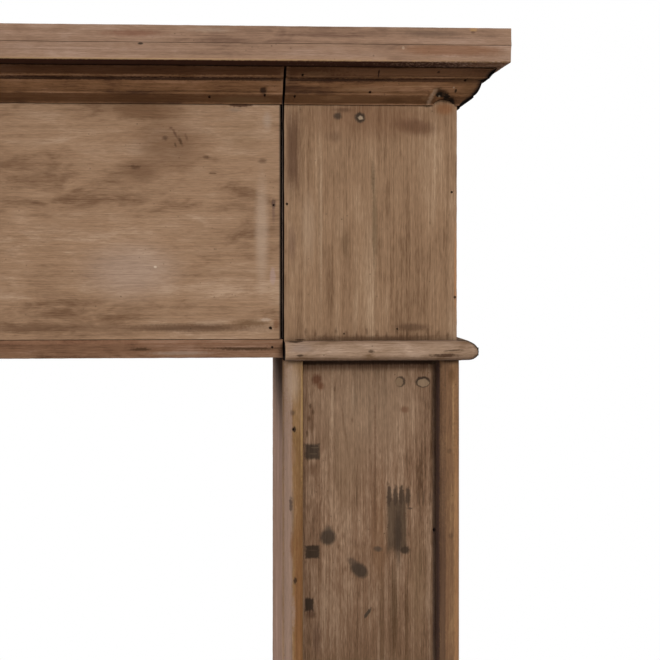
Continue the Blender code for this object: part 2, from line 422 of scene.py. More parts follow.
def corners_of(outline):
    """The outline's sharp corners."""
    found = []
    for before, here, after in zip(outline[-1:] + outline, outline, outline[1:] + outline[:1]):
        way_in = Vector(here) - Vector(before)
        way_out = Vector(after) - Vector(here)
        if way_in.angle(way_out) > SHARP_TURN:
            found.append(here)
    return found


def wear_moulding(obj, corners, spot_of, end_of, rub, dark_ends_and_joint_shade):
    """Wears a moulding at its arrises and, more, at its ends."""

    def nearness(co):
        to_arris = min(math.dist(spot_of(co), corner) for corner in corners)
        return max(near(end_of(co), END_REACH), 0.6 * near(to_arris, 2 * MM))

    return wear(obj, nearness, rub, dark_ends_and_joint_shade)


def front_moulding(node, outline, side, holes=()):
    """A moulding along the front, in a solid's place.

    side is -1 or 1 for a leg's moulding, cut on the mitre at the leg's outer corner, and 0 for the header's.
    """
    low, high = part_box(node)
    middle = (low.x + high.x) / 2
    path = [Vector((middle, FACE - out, low.z + height)) for out, height in outline]
    obj = swept(node + "_worn", path, Vector((high.x - low.x, 0, 0)))
    corner = Vector((side * (LEG_OUTER - HAIR / 2), FACE - HAIR / 2, 0))
    away = Vector((side, 1, 0)).normalized()
    if side:
        cut_end(obj, corner, away)
    add_loops(obj, 0)
    for place in (low + Vector((END_HEM, 0, 0)), high - Vector((END_HEM, 0, 0))):
        bpy.ops.mesh.select_all(action="SELECT")
        bpy.ops.mesh.bisect(plane_co=place, plane_no=(1, 0, 0))
    bpy.ops.object.mode_set(mode="OBJECT")
    if node == "right_crown_front":
        break_knot(obj)
    drill(obj, holes)

    def from_end(co):
        if side:
            return min(side * co.x - LEG_INNER, (corner - co).dot(away))
        return min(co.x - low.x, high.x - co.x)

    # Darker at the ends: dark end grain, and painted shade inside the joint
    def in_joint(co):
        return near(from_end(co), END_HEM)

    def spot(co):
        return (FACE - co.y, co.z - low.z)

    return wear_moulding(obj, corners_of(outline), spot, from_end, 1.2 * MM, in_joint)


def return_moulding(node, outline, side):
    """A moulding back along the leg's outer side, from the mitre to the wall, ragged and black in front."""
    low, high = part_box(node)
    middle = (low.y + high.y) / 2
    path = [Vector((side * (LEG_OUTER + out), middle, low.z + height)) for out, height in outline]
    obj = swept(node + "_worn", path, Vector((0, high.y - low.y, 0)))
    corner = Vector((side * (LEG_OUTER + HAIR / 2), FACE + HAIR / 2, 0))
    away = Vector((-side, -1, 0)).normalized()
    cut_end(obj, corner, away)
    add_loops(obj, 1, 3 * MM)
    bpy.ops.object.mode_set(mode="OBJECT")

    def from_end(co):
        return min(high.y - co.y, (corner - co).dot(away))

    def by_mitre(co):
        return near((corner - co).dot(away) - 3 * MM, 5 * MM)

    def spot(co):
        return (side * co.x - LEG_OUTER, co.z - low.z)

    return wear_moulding(obj, corners_of(outline), spot, from_end, 2.4 * MM, by_mitre)


def round_stile(node, holes=()):
    """The inner stile: a strip with a half-round front, in its solid's place."""
    low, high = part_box(node)
    middle = (low.z + high.z) / 2
    outline = stile_outline(low.x, high.x, low.y, high.y, 14 * MM)
    path = [Vector((x, y, middle)) for x, y in outline]
    obj = swept(node + "_worn", path, Vector((0, 0, high.z - low.z)))
    add_loops(obj, 2)
    bpy.ops.object.mode_set(mode="OBJECT")
    drill(obj, holes)

    def from_end(co):
        return min(co.z - low.z, high.z - co.z)

    def spot(co):
        return (co.x, co.y)

    return wear_moulding(obj, corners_of(outline), spot, from_end, 0.9 * MM, lambda co: 0.0)


# The knot that broke out of the right-hand crown, in millimetres left of the leg's outer corner and
# up from the crown's foot: the middle and half sizes of the bite, and the lines of the hollow and the rim
BITE = (19, 0, 14.5, 9.3)
HOLLOW = ((31, 12), (20, 9), (6, 2))
RIM = ((39, 0), (38.5, 7), (36.5, 12), (33, 15.5))


def break_knot(obj):
    """Hollows the knot, raises its rim and bites out the foot of the crown under it."""

    def measured(co):
        return Vector(((LEG_OUTER - co.x) / MM, (co.z - CROWN_FOOT) / MM))

    def round_knot(face):
        left, up = measured(face.calc_center_median())
        return -6 < left < 48 and up < 28 and face.normal.y < 0

    bpy.ops.object.mode_set(mode="EDIT")
    choose(obj, "FACE", round_knot)
    bpy.ops.mesh.subdivide(number_cuts=3)
    bpy.ops.object.mode_set(mode="OBJECT")

    def off_line(co, line):
        reach = math.inf
        for start, end in zip(line, line[1:]):
            run = Vector(end) - Vector(start)
            spot = measured(co) - Vector(start)
            share = max(0.0, min(1.0, spot.dot(run) / run.length_squared))
            reach = min(reach, (spot - run * share).length)
        return reach

    press(obj, lambda co: math.sqrt(near(off_line(co, RIM), 5)), -2.2 * MM)
    press(obj, lambda co: near(off_line(co, HOLLOW), 5.5), 5.0 * MM)
    bpy.ops.object.select_all(action="DESELECT")
    place = (LEG_OUTER - BITE[0] * MM, FACE - 8 * MM, CROWN_FOOT + BITE[1] * MM)
    bpy.ops.mesh.primitive_ico_sphere_add(subdivisions=3, radius=1, location=place)
    bite = bpy.context.active_object
    bite.scale = (BITE[2] * MM, 30 * MM, BITE[3] * MM)
    bpy.ops.object.transform_apply(location=True, rotation=True, scale=True)
    sink(bite, KNOCKS, 2.5 * MM)
    apply_modifiers(bite)
    take_away(obj, [bite])


# Materials


def linear(hex_colour):
    """An sRGB hex colour as linear red, green, blue and alpha."""
    channels = [int(hex_colour[i : i + 2], 16) / 255 for i in (0, 2, 4)]
    return [((c + 0.055) / 1.055) ** 2.4 for c in channels] + [1.0]


def add(tree, kind, links=None, **settings):
    """Adds a node. Each link's value is another node, one of its outputs, or a plain value for the socket."""
    node = tree.nodes.new(kind)
    for name, value in settings.items():
        setattr(node, name, value)
    for socket, source in (links or {}).items():
        if isinstance(source, bpy.types.Node):
            source = next(output for output in source.outputs if output.enabled)
        if isinstance(source, bpy.types.NodeSocket):
            tree.links.new(source, node.inputs[socket])
        else:
            node.inputs[socket].default_value = source
    return node


def drawn_out(tree, place, across, along, detail=3.0, rough=0.55, bend=0.0, seed=0.0):
    """Noise stretched along the grain, from 0 to 1: across and along are its sizes in millimetres."""
    scale = (1 / (along * MM), 1 / (across * MM), 1 / (across * MM))
    pulled = add(tree, "ShaderNodeMapping", {"Vector": place, "Scale": scale, "Location": (seed, seed, seed)})
    links = {"Vector": pulled, "Scale": 1.0, "Detail": detail, "Roughness": rough, "Distortion": bend}
    return add(tree, "ShaderNodeTexNoise", links)


def mark(right, down, width, height, colour, strength=0.8, soft=0.5, tilt=0, square=False, deep=None):
    """A stain, plug or scar, in millimetres and degrees, centred that far right and down.

    Its edge is ragged by a few millimetres. It goes as deep as the piece's wood says, or deep millimetres.
    """
    return {
        "place": (right, down),
        "size": (width / 2, height / 2),
        "colour": colour,
        "strength": strength,
        "soft": soft,
        "tilt": math.radians(tilt),
        "square": square,
        "ragged": min(1.0, 6 / min(width, height)),
        "deep": deep,
    }


def lay_mark(tree, place, edge, corner, deep, colour, stain):
    """Lays one mark over the wood's colour."""
    centre = (corner.x + stain["place"][0] * MM, corner.y, corner.z - stain["place"][1] * MM)
    size = (stain["size"][0] * MM, (stain["deep"] or deep) * MM, stain["size"][1] * MM)
    links = {"Vector": place, "Location": centre, "Rotation": (0, stain["tilt"], 0), "Scale": size}
    local = add(tree, "ShaderNodeMapping", links, vector_type="TEXTURE")
    if stain["square"]:
        apart = add(tree, "ShaderNodeVectorMath", {0: local}, operation="ABSOLUTE")
        sides = add(tree, "ShaderNodeSeparateXYZ", {0: apart}).outputs
        wider = add(tree, "ShaderNodeMath", {0: sides["X"], 1: sides["Y"]}, operation="MAXIMUM")
        reach = add(tree, "ShaderNodeMath", {0: wider, 1: sides["Z"]}, operation="MAXIMUM")
    else:
        reach = add(tree, "ShaderNodeVectorMath", {0: local}, operation="LENGTH")
    reach = add(tree, "ShaderNodeMath", {0: edge, 1: stain["ragged"], 2: reach}, operation="MULTIPLY_ADD")
    fade = {"Value": reach, "From Min": 1.1, "From Max": 1.1 - stain["soft"], "To Max": stain["strength"]}
    share = add(tree, "ShaderNodeMapRange", fade, interpolation_type="SMOOTHSTEP")
    return add(tree, "ShaderNodeMix", {0: share, 6: colour, 7: linear(stain["colour"])}, data_type="RGBA")


# Turns that bring each grain direction to the pattern's first axis
GRAIN_TURN = {"x": (0, 0, 0), "y": (0, 0, -math.pi / 2), "z": (0, math.pi / 2, 0)}

# How strongly each layer of figure shows: wide clouds, patches, growth rings, fine lines, fibres
UPRIGHT_FIGURE = {"cloud": 0.8, "patch": 0.6, "ring": 0.5, "line": 0.4, "fibre": 0.3, "ripple": 0.15}
BLOCK_FIGURE = {"cloud": 0.6, "patch": 0.4, "ring": 0.5, "line": 0.5, "fibre": 0.3, "ripple": 0.15}
PANEL_FIGURE = {"cloud": 0.8, "patch": 0.7, "ring": 0.6, "line": 0.8, "fibre": 0.6, "ripple": 0.35}
HEADER_FIGURE = {"cloud": 0.9, "patch": 0.8, "ring": 0.25, "line": 0.15, "fibre": 0.2, "ripple": 0.2}
SHELF_FIGURE = {"cloud": 0.9, "patch": 0.7, "ring": 0.5, "line": 0.35, "fibre": 0.2, "ripple": 0.2}
CROWN_FIGURE = {"cloud": 0.9, "patch": 1.0, "ring": 0.6, "line": 0.4, "fibre": 0.3, "ripple": 0.35}

# How deep, in millimetres, the marks on a flat board and on a moulding go
BOARD_MARKS = 12
MOULDING_MARKS = 400

# How black the dirt and painted shade in the corners of a board and of a moulding are
BOARD_DIRT_AND_SHADE = 0.7
MOULDING_DIRT_AND_SHADE = 0.65

# The paler wood of a rubbed arris, and the colour of the dirt and painted shade in joints and corners
BOARD_RUB = "a8876a"
DIRT_AND_SHADE_COLOUR = "120a06"


def old_pine(node, grain, tones, figure, marks=(), deep=BOARD_MARKS, dirt_and_shade_share=BOARD_DIRT_AND_SHADE, rub=BOARD_RUB, seed=0.0):
    """Old pine: planed by hand, stained brown, then waxed, knocked and rubbed for decades.

    The eye sees lines of 1 to 9 mm along the grain in browns close together, wider clouds of tone,
    paler rubbed arrises, soiling and painted shade in every corner, small dark specks and hardly any
    sheen. Fibres, too fine to show, are drawn 1 mm wide.
    """
    material = bpy.data.materials.new("waxed old pine " + node.replace("_", " "))
    material.use_nodes = True
    tree = material.node_tree
    shader = tree.nodes["Principled BSDF"]
    place = add(tree, "ShaderNodeTexCoord").outputs["Object"]
    turned = add(tree, "ShaderNodeMapping", {"Vector": place, "Rotation": GRAIN_TURN[grain]})
    layers = {
        "cloud": drawn_out(tree, turned, 60, 240, 3.0, 0.5, 0.3, seed),
        "patch": drawn_out(tree, turned, 22, 60, 4.0, 0.6, 0.6, seed + 7),
        "ring": drawn_out(tree, turned, 7, 420, 2.0, 0.5, 0.0, seed + 3),
        "line": drawn_out(tree, turned, 1.9, 110, 3.0, 0.7, 0.0, seed + 11),
        "fibre": drawn_out(tree, turned, 1.0, 11, 2.0, 0.6, 0.0, seed + 17),
    }
    light, mid, dark = [linear(tone) for tone in tones]
    tone = 0.5 - sum(figure[name] for name in layers) / 2
    for name, layer in layers.items():
        tone = add(tree, "ShaderNodeMath", {0: layer, 1: figure[name], 2: tone}, operation="MULTIPLY_ADD")
    darker = {"Value": tone, "From Min": 0.52, "From Max": 0.18}
    darker = add(tree, "ShaderNodeMapRange", darker, interpolation_type="SMOOTHSTEP")
    paler = {"Value": tone, "From Min": 0.48, "From Max": 0.85}
    paler = add(tree, "ShaderNodeMapRange", paler, interpolation_type="SMOOTHSTEP")
    colour = add(tree, "ShaderNodeMix", {0: darker, 6: mid, 7: dark}, data_type="RGBA")
    colour = add(tree, "ShaderNodeMix", {0: paler, 6: colour, 7: light}, data_type="RGBA")

    # Short dark dashes along the grain
    dash = drawn_out(tree, turned, 2.2, 14, 2.0, 0.6, 0.5, seed + 23)
    dash = {"Value": dash, "From Min": 0.57, "From Max": 0.68, "To Max": figure["ripple"]}
    dash = add(tree, "ShaderNodeMapRange", dash, interpolation_type="SMOOTHSTEP")
    colour = add(tree, "ShaderNodeMix", {0: dash, 6: colour, 7: dark}, data_type="RGBA")

    # Stains, plugs and scars, whose edges follow the lines of the grain
    fine = add(tree, "ShaderNodeTexNoise", {"Vector": place, "Scale": 300.0, "Detail": 3.0})
    edge = add(tree, "ShaderNodeMath", {0: layers["line"], 1: 0.8, 2: -0.9}, operation="MULTIPLY_ADD")
    edge = add(tree, "ShaderNodeMath", {0: edge, 1: fine})
    corner = Vector((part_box(node)[0].x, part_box(node)[0].y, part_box(node)[1].z))
    for stain in marks:
        colour = lay_mark(tree, place, edge, corner, deep, colour, stain)

    # The grain shows through the stains too
    through = add(tree, "ShaderNodeMath", {0: layers["fibre"], 1: layers["line"]})
    through = {"Value": through, "From Min": 0.7, "From Max": 1.3, "To Min": 0.86, "To Max": 1.14}
    through = add(tree, "ShaderNodeMapRange", through)
    shown = {0: 1.0, 6: colour, 7: through}
    colour = add(tree, "ShaderNodeMix", shown, data_type="RGBA", blend_type="MULTIPLY")

    # Specks of about 1 mm, in flocks
    speck = add(tree, "ShaderNodeTexVoronoi", {"Vector": place, "Scale": 110.0})
    speck = add(tree, "ShaderNodeMapRange", {"Value": speck, "From Min": 0.14, "From Max": 0.06})
    flock = add(tree, "ShaderNodeMapRange", {"Value": layers["patch"], "From Min": 0.52, "From Max": 0.64})
    specks = add(tree, "ShaderNodeMath", {0: speck, 1: flock}, operation="MULTIPLY")
    shown = add(tree, "ShaderNodeMath", {0: specks, 1: 0.6}, operation="MULTIPLY")
    colour = add(tree, "ShaderNodeMix", {0: shown, 6: colour, 7: linear("3a2a1c")}, data_type="RGBA")

    # Paler wood where the arrises are rubbed, though not underneath
    rubbed = add(tree, "ShaderNodeAttribute", attribute_name="rubbed").outputs["Fac"]
    worn = {"Value": layers["patch"], "From Min": 0.35, "From Max": 0.6, "To Max": 0.75}
    worn = add(tree, "ShaderNodeMapRange", worn, interpolation_type="SMOOTHSTEP")
    rubbed = add(tree, "ShaderNodeMath", {0: rubbed, 1: worn}, operation="MULTIPLY")
    facing = add(tree, "ShaderNodeNewGeometry").outputs["Normal"]
    upwards = add(tree, "ShaderNodeSeparateXYZ", {0: facing}).outputs["Z"]
    reached = add(tree, "ShaderNodeMapRange", {"Value": upwards, "From Min": -0.9, "From Max": -0.6})
    rubbed = add(tree, "ShaderNodeMath", {0: rubbed, 1: reached}, operation="MULTIPLY")
    colour = add(tree, "ShaderNodeMix", {0: rubbed, 6: colour, 7: linear(rub)}, data_type="RGBA")

    # Dirt and painted shade in the corners, darker where they close in, and painted shade and dark end grain
    # in the joints
    open_sky = add(tree, "ShaderNodeAmbientOcclusion", {"Distance": 12 * MM}, samples=8).outputs["AO"]
    corners = {"Value": open_sky, "From Min": 0.80, "From Max": 0.25, "To Max": dirt_and_shade_share}
    corners = add(tree, "ShaderNodeMapRange", corners, interpolation_type="SMOOTHSTEP")
    patchy = {"Value": layers["patch"], "From Min": 0.3, "From Max": 0.6, "To Min": 0.6}
    patchy = add(tree, "ShaderNodeMapRange", patchy, interpolation_type="SMOOTHSTEP")
    dirt_and_shade = add(tree, "ShaderNodeMath", {0: corners, 1: patchy}, operation="MULTIPLY")
    joint = add(tree, "ShaderNodeAttribute", attribute_name="dark_ends_and_joint_shade").outputs["Fac"]
    dirt_and_shade = add(tree, "ShaderNodeMath", {0: dirt_and_shade, 1: joint}, operation="MAXIMUM")
    colour = add(tree, "ShaderNodeMix", {0: dirt_and_shade, 6: colour, 7: linear(DIRT_AND_SHADE_COLOUR)}, data_type="RGBA")

    # Wax gone dull: slightly smoother on the hard lines, which stand up a little
    dull = {"Value": layers["line"], "From Min": 0.3, "From Max": 0.7, "To Min": 0.88, "To Max": 0.72}
    dull = add(tree, "ShaderNodeMapRange", dull)
    fibres = {0: layers["fibre"], 1: 0.4, 2: layers["line"]}
    height = add(tree, "ShaderNodeMath", fibres, operation="MULTIPLY_ADD")
    height = add(tree, "ShaderNodeMath", {0: height, 1: specks}, operation="SUBTRACT")
    raised = add(tree, "ShaderNodeMath", {0: reached, 1: 0.35}, operation="MULTIPLY")
    bump = add(tree, "ShaderNodeBump", {"Height": height, "Strength": raised, "Distance": 0.5 * MM})
    tree.links.new(colour.outputs[2], shader.inputs["Base Color"])
    tree.links.new(dull.outputs[0], shader.inputs["Roughness"])
    tree.links.new(bump.outputs[0], shader.inputs["Normal"])
    shader.inputs["Specular IOR Level"].default_value = 0.10
    return material


# Marks on the boards that the photograph shows

PLUG = "3c3026"
SOOT = "2c2219"
UMBER = "533a29"
OLIVE = "63503a"
PALE = "a98f79"
RIM_GREY = "8a705a"

# The pale rim of the broken knot, as marks along its line
RIM_MARKS = [
    mark(
        (LEG_OUTER - LEG_INNER) / MM - (start[0] + end[0]) / 2,
        (CROWN_TOP - CROWN_FOOT) / MM - (start[1] + end[1]) / 2,
        8,
        math.dist(start, end) + 6,
        RIM_GREY,
        0.8,
        1.0,
        tilt=math.degrees(math.atan2(start[0] - end[0], end[1] - start[1])),
    )
    for start, end in zip(RIM, RIM[1:])
]

# Along every length of crown: a dark fascia, darker stain with painted shade under the shelf; a black quirk,
# painted shade in its hollow; and a darker chamfer, painted shade on its downward slope
CROWN_STAIN_AND_SHADE_BANDS = [
    mark(0, 5.3, 4000, 10, "3e220f", 0.8, 0.35, square=True),
    mark(0, 13.4, 4000, 3.6, "2a1407", 0.95, 0.5, square=True),
    mark(0, 34.5, 4000, 10, "50331d", 0.8, 0.6, square=True),
]

# Along every length of collar: painted shade on the lower half of the nose and a painted shadow line at its
# foot
COLLAR_SHADE_BANDS = [
    mark(0, 25, 4000, 16, "5a4030", 0.7, 1.0, square=True),
    mark(0, 25.5, 4000, 5, "2a190e", 0.85, 0.9, square=True),
]

MARKS = {
    "shelf_top_board": [
        mark(1150, 11, 90, 11, "7a5240", 0.6, 0.8),
        mark(1557, 2.5, 11, 5, "a98258", 0.8, 0.6),
        mark(1556, 6, 6, 3, "5d4434", 0.7, 0.6),
        mark(1503, 8, 96, 11, "614c3f", 0.6, 0.9),
        mark(1530, 13, 70, 3, "6d5445", 0.5, 0.9),
        mark(1575, 11, 40, 4, "6a5243", 0.5, 0.9),
        mark(1240, 6, 70, 8, "9c8572", 0.5, 0.8),
        mark(400, 8, 120, 10, "6d5344", 0.6, 0.8),
        mark(700, 5, 60, 6, "9c8572", 0.5, 0.8),
    ],
    "shelf_lower_board": [
        mark(1158, 1.5, 7, 3, SOOT, 0.9),
        mark(1530, 6, 150, 16, "805a42", 0.8, 0.6),
        mark(1471.5, 4, 4, 4, "ab937c", 0.6),
        mark(1560, 12, 80, 6, "7c5b46", 0.5, 0.9),
        mark(250, 9, 130, 12, "82593f", 0.6, 0.8),
        # Painted shade: the whole underside darkened, as it lies in shadow
        mark(801, 21.0, 1700, 4.0, "30150a", 0.97, 0.3, square=True, deep=700),
        mark(1585, 21.0, 90, 3.0, "6a4a34", 0.7, 0.9, deep=300),
        # Painted highlight along the lower front arris
        mark(801, 19.3, 1700, 2.4, "b58f68", 0.7, 0.6, square=True, deep=2.5),
    ],
    "header_frieze_board": [
        mark(913, 92, 130, 90, "6e5039", 0.7, 0.9),
        mark(888, 48, 130, 30, "6f5139", 0.75, 0.9),
        mark(878, 125, 70, 40, "6d503a", 0.65, 0.9),
        mark(868, 250, 150, 90, "a58d7c", 0.55, 0.9),
        mark(1008, 80, 60, 60, "86694f", 0.5, 0.9),
        mark(298, 90, 240, 100, "6e5039", 0.55, 0.9),
        mark(618, 60, 160, 40, "6f5139", 0.6, 0.9),
        mark(520, 230, 260, 110, "a58d7c", 0.4, 0.9),
        mark(118, 210, 90, 160, "75573f", 0.45, 0.9),
        mark(408, 140, 16, 6, "4e392a", 0.75, 0.6, tilt=70),
        mark(698, 175, 12, 5, UMBER, 0.7, 0.7),
        mark(258, 262, 14, 5, UMBER, 0.7, 0.7),
        mark(922, 76, 5, 20, "54392a", 0.75, 1.0, tilt=-28),
        mark(929, 86, 6, 18, "46301f", 0.8, 1.0, tilt=-24),
        mark(923, 91, 4, 9, "46301f", 0.7, 1.0, tilt=-20),
        mark(910, 83, 12, 8, "4e3728", 0.8, 1.0),
        mark(917, 70, 7, 4, "54392a", 0.7, 0.9),
        mark(937, 82, 5, 12, "5c4230", 0.6, 1.0, tilt=-20),
        mark(962, 106.5, 14, 6, UMBER, 0.75, 1.0),
        mark(1033, 111, 14, 9, UMBER, 0.65, 1.0),
        mark(873, 119.5, 17, 6, UMBER, 0.75, 0.8),
        mark(970, 127, 13, 3, UMBER, 0.7, 0.8),
        mark(1047, 165, 7, 14, "543d32", 0.8, 0.7),
        mark(1047, 175, 5, 46, "6e5548", 0.6, 0.9),
        mark(1032, 200, 22, 180, PALE, 0.75, 0.9),
        mark(1039, 60, 16, 30, "a48d7a", 0.6, 0.9),
        mark(898, 245, 4, 3, "cdb8a2", 0.8),
        mark(800, 322, 700, 12, "6a4f3b", 0.45, 0.9, square=True),
        mark(938, 322, 190, 14, "5c4230", 0.8, 0.9),
        mark(1018, 316, 60, 12, "654930", 0.75, 0.9),
        mark(1004, 41, 38, 5, "462b1c", 0.9, 0.6),
        mark(998, 47, 30, 6, "7c6858", 0.6, 0.8),
        mark(1037, 312, 15, 6, "b39b87", 0.7, 0.8),
        mark(1046, 257, 9, 24, "a58a80", 0.6, 0.6),
        mark(1051, 318, 12, 18, "6a4127", 0.6, 0.8),
    ],
    "header_soffit_board": [
        mark(533, 3, 1066, 6, "8a624a", 0.6, 0.8, square=True),
        mark(1016, 12, 120, 5, "46301f", 0.9, 0.7),
        mark(883, 12, 28, 5, "46301f", 0.85, 0.7),
        mark(930, 17, 100, 6, "8d7868", 0.6, 0.8),
        mark(610, 13, 110, 5, "4d3626", 0.75, 0.7),
        mark(220, 12, 60, 5, "4d3626", 0.7, 0.7),
    ],
    "right_frieze_block": [
        mark(112, 55, 230, 70, "6f4d36", 0.5, 0.9),
        mark(167, 67, 70, 26, "5f402d", 0.7, 0.8, tilt=8),
        mark(11, 100, 24, 130, "533828", 0.8, 0.8, square=True),
        mark(11, 215, 14, 60, "6d5140", 0.6, 0.9),
        mark(69, 53.7, 13, 12, PLUG, 0.85, 0.7),
        mark(97.6, 55.6, 16, 15, PLUG, 0.95, 0.5),
        mark(98.5, 56, 7, 6, "a08a72", 0.95, 0.5),
        mark(76, 46, 30, 9, UMBER, 0.6, 0.9),
        mark(65, 80, 26, 20, "6a4f3b", 0.55, 0.9),
        mark(32, 195, 24, 120, "a68b72", 0.45, 0.9),
        mark(116, 190, 8, 160, OLIVE, 0.65, 0.9),
        mark(114, 130, 6, 60, "54432f", 0.55, 0.9),
        mark(48, 200, 3, 270, "a68c72", 0.5, 0.8),
        mark(45, 150, 3, 200, "684e39", 0.4, 0.8),
        mark(78, 215, 13, 50, "69513b", 0.5, 0.9),
        mark(164, 322, 58, 13, "563e2d", 0.7, 0.8),
        mark(122, 337, 212, 12, "513826", 0.7, 0.9, square=True),
        # Painted shadow in the seam above the collar
        mark(21, 337.4, 17, 1.8, "3a2418", 0.85, 0.6),
        mark(50, 338, 44, 12, "5c4230", 0.6, 1.0),
        mark(206, 44, 32, 20, "7d5234", 0.75, 0.8),
        mark(220.5, 250, 4.5, 170, "a9744a", 0.7, 0.8),
    ]
    + [mark(28 + 13 * tooth, 327 + 3 * (tooth % 3), 5, 13, "563d2b", 0.55, 0.9) for tooth in range(15)],
    "left_frieze_block": [
        mark(112, 58, 220, 66, "6f4d36", 0.45, 0.9),
        mark(70, 66, 60, 24, "5f402d", 0.6, 0.8, tilt=-10),
        mark(210, 120, 22, 150, "5a3f2e", 0.7, 0.8, square=True),
        mark(150, 54, 15, 14, PLUG, 0.9, 0.5),
        mark(60, 210, 8, 150, OLIVE, 0.5, 0.9),
        mark(110, 337, 212, 11, "513826", 0.65, 0.9, square=True),
    ],
    "right_leg_panel": [
        mark(100, 560, 420, 640, "5a412d", 0.6, 1.0),
        mark(92, 90, 200, 200, "957b63", 0.5, 1.0),
        mark(106, 260, 26, 200, "6f4f36", 0.6, 0.9),
        mark(62, 180, 60, 160, "8a7057", 0.35, 1.0),
        mark(157, 330, 34, 220, "83694f", 0.4, 1.0),
        # Painted shadow cast by the collar across the top of the panel, dark at first, then fading
        mark(90, 35, 400, 9, "1a1009", 0.92, 0.6, square=True),
        mark(90, 40, 400, 16, "4a3223", 0.6, 1.0, square=True),
        mark(101, 165, 5, 290, "5d4230", 0.65, 1.0),
        mark(45, 95, 4, 110, "a68c72", 0.6, 1.0),
        mark(61, 120, 4, 90, "5f4532", 0.5, 1.0, tilt=-8),
        mark(72, 80, 5, 60, "9c826a", 0.5, 1.0),
        mark(25, 58, 16, 19, "5a3826", 0.9, 0.7),
        mark(30, 66, 12, 14, "643f2b", 0.85, 0.8),
        mark(16, 92, 5, 9, "46301f", 0.7, 0.9),
        mark(20, 100, 5, 8, "46301f", 0.7, 0.9),
        mark(15, 108, 6, 9, "46301f", 0.7, 0.9),
        mark(12, 128, 5, 14, "46301f", 0.7, 0.9),
        mark(134, 61, 14, 14.5, PLUG, 0.85, 0.3),
        mark(132.5, 61.5, 10.5, 11.5, "846b53", 0.95, 0.3),
        mark(163.5, 61.5, 20, 15, "332820", 0.9, 0.3),
        mark(164, 62.5, 16, 10.5, "8a725a", 0.95, 0.3),
        mark(19, 151, 21, 22, "3c3026", 0.92, 0.4, square=True),
        mark(19, 281, 20, 18, "35291f", 0.95, 0.35, square=True),
        mark(15, 349, 13, 20, "2f241b", 0.93, 0.5, square=True),
        mark(23, 146, 11, 1.8, "6e5a47", 0.45),
        mark(20, 154, 13, 1.8, "6e5a47", 0.35),
        mark(20, 279, 14, 1.8, "4d3b2d", 0.6),
        mark(18, 362, 16, 14, "4a3223", 0.7, 0.8),
        mark(25, 395, 14, 60, "50372a", 0.6, 0.9),
        mark(17, 110, 14, 46, "60432f", 0.6, 0.9),
        mark(19, 175, 15, 22, "60432f", 0.55, 0.9),
        mark(39.5, 262, 24, 24, "3e3228", 0.92, 0.5, tilt=15),
        mark(40, 251, 14, 14, "4a3d31", 0.7, 1.0),
        mark(80, 305, 30, 20, "3e3228", 0.92, 0.5, tilt=38),
        mark(71, 294, 16, 12, "4f3e31", 0.8, 0.7, tilt=38),
        mark(91.5, 361, 5, 20, "3c3228", 0.9, 0.6, tilt=35),
        mark(129.5, 246, 28, 76, "4a3a2c", 0.85, 0.4, square=True),
        mark(131, 262, 14, 100, "3d3026", 0.8, 0.9),
        mark(126, 360, 13, 170, "4b3521", 0.75, 0.9),
        mark(142, 380, 6, 200, "563d28", 0.6, 0.9),
        mark(110, 380, 8, 220, "5c432e", 0.5, 0.9),
        mark(140, 280, 15, 13, "3b2e23", 0.92, 0.6),
        mark(105, 278, 14, 9, "4b3d31", 0.85, 0.7),
        mark(147, 226, 9, 4, "4f3e31", 0.85, 0.8),
        mark(140, 97.5, 15, 12, "6a4834", 0.7, 0.8),
        mark(178, 254, 4, 6, SOOT, 0.95),
        # Painted shade down the panel's right edge, beside the outer stile
        mark(178.5, 480, 5, 1000, "4a3a3a", 0.6, 1.0, square=True),
    ]
    + [mark(119.4 + 8.1 * tine, 209 + tine % 2, 7.5, 30, "45362a", 0.9, 0.5) for tine in range(4)]
    + [mark(157 + 8 * tine, 212, 4, 24, "5c4636", 0.7, 0.9) for tine in range(3)]
    + [mark(48 + 23 * fleck % 110, 70 + 41 * fleck % 320, 3, 9, "58402e", 0.6, 0.8) for fleck in range(8)],
    "left_leg_panel": [
        mark(80, 560, 420, 620, "5d4430", 0.4, 1.0),
        mark(40, 62, 18, 16, PLUG, 0.9, 0.4),
        mark(150, 170, 18, 19, PLUG, 0.85, 0.25, square=True),
        mark(62, 330, 16, 110, "4f3d2c", 0.7, 0.8),
        mark(120, 520, 24, 18, "43372d", 0.85, 0.4, tilt=-30),
        mark(30, 700, 14, 150, "5a4432", 0.6, 0.9),
        # Painted shade down the panel's left edge, beside the outer stile
        mark(3, 480, 11, 1000, "3a2c2c", 0.7, 0.9, square=True),
    ],
    "right_inner_stile": [
        mark(6, 420, 12, 1000, "93796a", 0.9, 0.5, square=True),
        mark(19.5, 560, 13, 900, "7d5433", 0.85, 0.6, square=True),
        # Painted highlight down the right side of the half-round front
        mark(24, 75, 4, 200, "b3905f", 0.75, 0.8),
        mark(12, 28, 24, 70, "a38a74", 0.7, 0.9),
        mark(17, 330, 2.5, 260, "5e4028", 0.6, 0.9),
        mark(21, 560, 2.5, 300, "5e4028", 0.5, 0.9),
        mark(10, 400, 3, 300, "7b6455", 0.6, 0.9),
        mark(12, 190, 5, 90, "76604f", 0.5, 0.9),
        mark(9.5, 182, 5, 22, "4d3d32", 0.8, 0.6),
        mark(14, 87, 5, 10, "34251a", 0.9, 0.6),
        mark(15, 279, 5, 11, "37271d", 0.9, 0.6),
        mark(12, 66, 8, 10, "523f30", 0.7, 0.8),
        mark(13, 120, 8, 34, "8b6a4e", 0.7, 0.8),
        mark(11, 235, 7, 40, "7a5434", 0.7, 0.8),
        mark(13, 320, 6, 50, "927869", 0.7, 0.8),
    ],
    "left_inner_stile": [
        mark(20, 420, 12, 1000, "93796a", 0.85, 0.35, square=True),
        mark(7, 420, 12, 1000, "7d5230", 0.7, 0.4, square=True),
